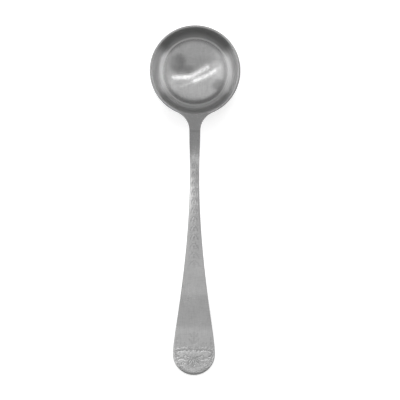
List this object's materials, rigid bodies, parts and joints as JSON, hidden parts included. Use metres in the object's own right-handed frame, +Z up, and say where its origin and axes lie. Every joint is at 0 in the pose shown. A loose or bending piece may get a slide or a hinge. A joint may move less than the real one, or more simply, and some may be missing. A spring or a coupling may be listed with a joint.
{
  "type": "sauce ladle",
  "caption": "Sauce ladle with a round deep bowl, a narrow arched handle and a rounded end stamped with leaf ornament.",
  "frame": {"origin": "centre of the bounding box at its base, on the surface that the ladle stands on", "axes": "+Y along the handle towards the bowl, +Z up out of the bowl, +X across, with the ladle the same on both sides of X = 0"},
  "size_m": [0.049, 0.19, 0.0286],
  "materials": {
    "steel": "satin handle, polished bowl"
  },
  "bodies": {
    "root": {"ladle": "steel"}
  },
  "joints": []
}
